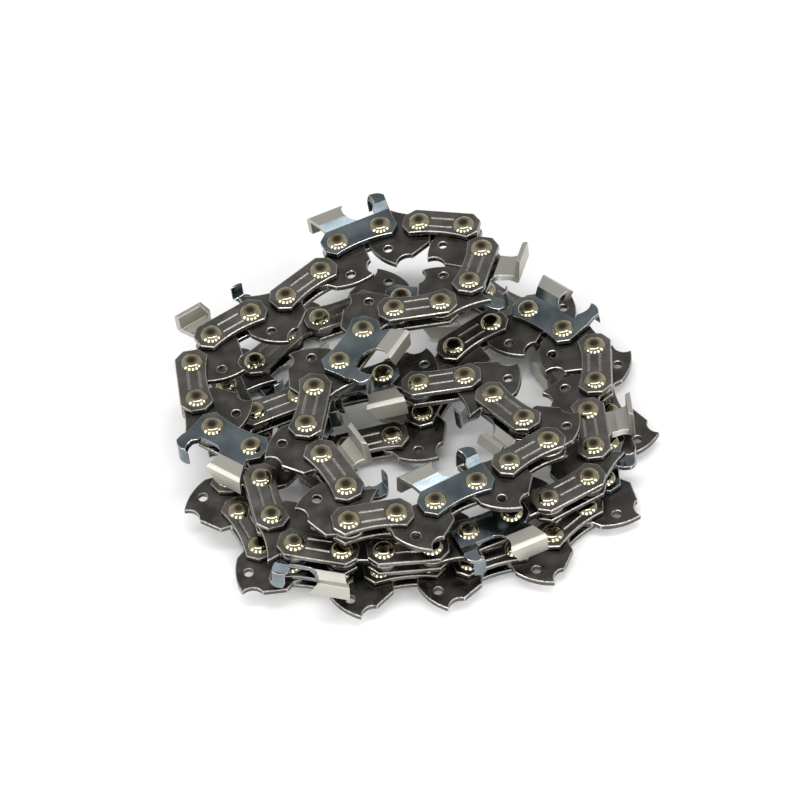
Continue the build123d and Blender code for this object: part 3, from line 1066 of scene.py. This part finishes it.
def softbox(name, place, size, power):
    """Area lamp that faces the heap."""
    lamp = bpy.data.lights.new(name, "AREA")
    lamp.shape = "RECTANGLE"
    lamp.size = size[0]
    lamp.size_y = size[1]
    lamp.energy = power
    holder = bpy.data.objects.new(name, lamp)
    holder.location = place
    holder.rotation_mode = "QUATERNION"
    holder.rotation_quaternion = Vector(place).to_track_quat("Z", "Y")
    bpy.context.scene.collection.objects.link(holder)


def photo_camera():
    """Camera at the photograph's angle, with its slight roll and framing."""
    right = Vector((1, 0, 0))
    up = Vector((0, math.sin(CAMERA_ELEVATION), math.cos(CAMERA_ELEVATION)))
    back = Vector((0, -math.cos(CAMERA_ELEVATION), math.sin(CAMERA_ELEVATION)))
    roll = Matrix.Rotation(-CAMERA_ROLL, 3, back)
    right = roll @ right
    up = roll @ up
    across = (ORIGIN_PIXEL[0] - IMAGE_PIXELS / 2) / PIXELS_PER_MM * MM
    down = (ORIGIN_PIXEL[1] - IMAGE_PIXELS / 2) / PIXELS_PER_MM * MM
    aim = up * down - right * across
    data = bpy.data.cameras.new("photo_camera")
    data.sensor_width = SENSOR_MM
    data.lens = PIXELS_PER_MM / MM * CAMERA_DISTANCE * SENSOR_MM / IMAGE_PIXELS
    data.clip_start = CAMERA_NEAR
    camera = bpy.data.objects.new("photo_camera", data)
    turn = Matrix((right, up, back)).transposed().to_4x4()
    camera.matrix_world = Matrix.Translation(aim + back * CAMERA_DISTANCE) @ turn
    bpy.context.scene.collection.objects.link(camera)
    bpy.context.scene.camera = camera


def studio_world(tint):
    """Even grey room round the stage."""
    world = bpy.data.worlds.new("studio")
    world.use_nodes = True
    world.node_tree.nodes["Background"].inputs["Color"].default_value = tint
    bpy.context.scene.world = world


class SAWCHAIN_OT_stage(bpy.types.Operator):
    """Build the floor, the soft lamps and the camera"""

    bl_idname = "saw_chain.stage"
    bl_label = "Stage"

    def execute(self, context):
        half = FLOOR_HALF
        mesh = bpy.data.meshes.new("floor")
        corners = [(-half, -half, 0), (half, -half, 0), (half, half, 0), (-half, half, 0)]
        mesh.from_pydata(corners, [], [(0, 1, 2, 3)])
        mesh.materials.append(floor_finish(chain_finishes().floor))
        ground = bpy.data.objects.new("floor", mesh)
        context.scene.collection.objects.link(ground)
        softbox("overhead_softbox", OVERHEAD_PLACE, OVERHEAD_SIZE, OVERHEAD_POWER)
        flat = FRONT_DISTANCE * math.cos(FRONT_ELEVATION)
        height = FRONT_DISTANCE * math.sin(FRONT_ELEVATION)
        for number, bearing in enumerate(FRONT_BEARINGS, 1):
            turn = math.radians(bearing)
            place = (flat * math.sin(turn), -flat * math.cos(turn), height)
            softbox(f"front_softbox_{number}", place, FRONT_SIZE, FRONT_POWER)
        studio_world(chain_finishes().room)
        context.scene.view_settings.view_transform = "Standard"
        photo_camera()
        return {"FINISHED"}


class SAWCHAIN_PT_panel(bpy.types.Panel):
    """Sizes, finishes and build steps of the saw chain"""

    bl_idname = "SAWCHAIN_PT_panel"
    bl_label = "Saw Chain"
    bl_space_type = "VIEW_3D"
    bl_region_type = "UI"
    bl_category = "Saw Chain"

    def draw(self, context):
        for step in OPERATORS:
            self.layout.operator(step.bl_idname)
        for group in (chain_sizes(), chain_finishes()):
            box = self.layout.box()
            for name in group.bl_rna.properties.keys():
                if name not in ("rna_type", "name"):
                    box.prop(group, name)


OPERATORS = (
    SAWCHAIN_OT_tie_links,
    SAWCHAIN_OT_left_cutter_links,
    SAWCHAIN_OT_right_cutter_links,
    SAWCHAIN_OT_stage,
)
CLASSES = (ChainSizes, ChainFinishes, *OPERATORS, SAWCHAIN_PT_panel)


def register():
    """Adds the classes and the scene's two groups of properties."""
    for item in CLASSES:
        bpy.utils.register_class(item)
    bpy.types.Scene.saw_chain_sizes = bpy.props.PointerProperty(type=ChainSizes)
    bpy.types.Scene.saw_chain_finishes = bpy.props.PointerProperty(type=ChainFinishes)


def unregister():
    """Takes them away again."""
    del bpy.types.Scene.saw_chain_finishes
    del bpy.types.Scene.saw_chain_sizes
    for item in reversed(CLASSES):
        bpy.utils.unregister_class(item)


def main():
    """Builds the chain and its stage."""
    register()
    bpy.ops.saw_chain.tie_links()
    bpy.ops.saw_chain.left_cutter_links()
    bpy.ops.saw_chain.right_cutter_links()
    bpy.ops.saw_chain.stage()


if __name__ == "__main__":
    main()
